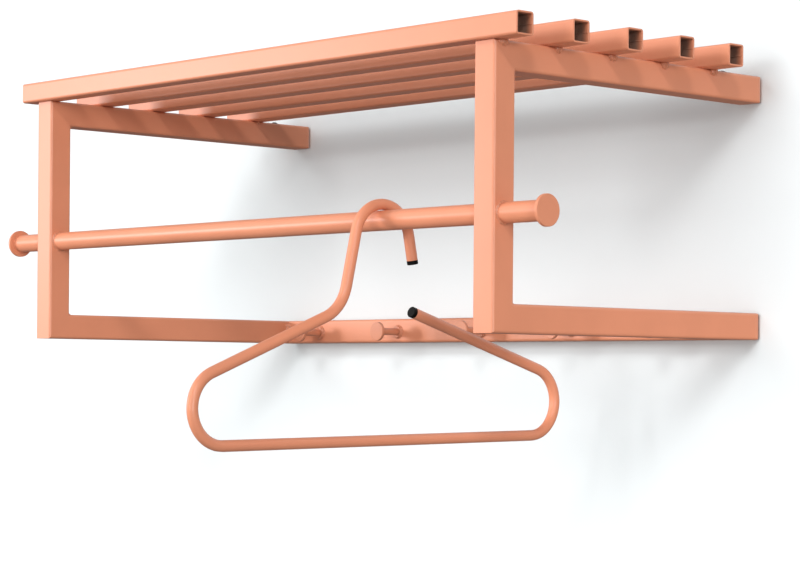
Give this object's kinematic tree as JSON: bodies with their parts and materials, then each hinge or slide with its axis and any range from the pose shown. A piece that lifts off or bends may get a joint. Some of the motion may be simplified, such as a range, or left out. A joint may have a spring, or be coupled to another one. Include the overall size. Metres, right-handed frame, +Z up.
{
  "type": "wall coat rack",
  "caption": "Wall coat rack of square coral tube: an open slatted shelf on two side frames, a round clothes rail with end discs, a lower rail with pegs, and a bent-tube hanger.",
  "frame": {"origin": "midway between the two wall sockets in the top arms, on the wall plane", "axes": "+X along the clothes rail to the right side frame, +Y into the wall, +Z up"},
  "size_m": [0.622, 0.4446, 0.294],
  "materials": {
    "frame_tube": "fine satin powder coat, coral",
    "shelf_tube": "fine satin powder coat, coral",
    "rail_tube": "fine satin powder coat, coral",
    "peg": "fine satin powder coat, coral",
    "weld": "powder coat over a weld bead, coral",
    "wall_end": "fine satin powder coat, coral",
    "hanger_tube": "fine satin powder coat, coral",
    "cap": "matt black moulded plastic",
    "screw": "black oxide"
  },
  "bodies": {
    "rack": {"left_front_post": "frame_tube", "right_front_post": "frame_tube", "left_top_arm": "frame_tube", "right_top_arm": "frame_tube", "left_bottom_arm": "frame_tube", "right_bottom_arm": "frame_tube", "left_frame_welds": "weld", "right_frame_welds": "weld", "left_wall_socket": "wall_end", "right_wall_socket": "wall_end", "left_lock_screw": "screw", "right_lock_screw": "screw", "left_bottom_plug": "wall_end", "right_bottom_plug": "wall_end", "shelf_tube_1": "shelf_tube", "shelf_tube_2": "shelf_tube", "shelf_tube_3": "shelf_tube", "shelf_tube_4": "shelf_tube", "shelf_tube_5": "shelf_tube", "left_shelf_welds": "weld", "right_shelf_welds": "weld", "clothes_rail": "rail_tube", "left_rail_disc": "rail_tube", "right_rail_disc": "rail_tube", "peg_rail": "frame_tube", "peg_rail_welds": "weld", "peg_1": "peg", "peg_2": "peg", "peg_3": "peg", "peg_4": "peg", "peg_5": "peg"},
    "hanger": {"hanger_tube": "hanger_tube", "hanger_hook_cap": "cap", "hanger_shoulder_cap": "cap"}
  },
  "joints": [
    {"name": "hanger_slide", "type": "slide", "parent": "rack", "child": "hanger", "axis": [1, 0, 0], "range_m": [-0.3935, 0.0965]}
  ]
}
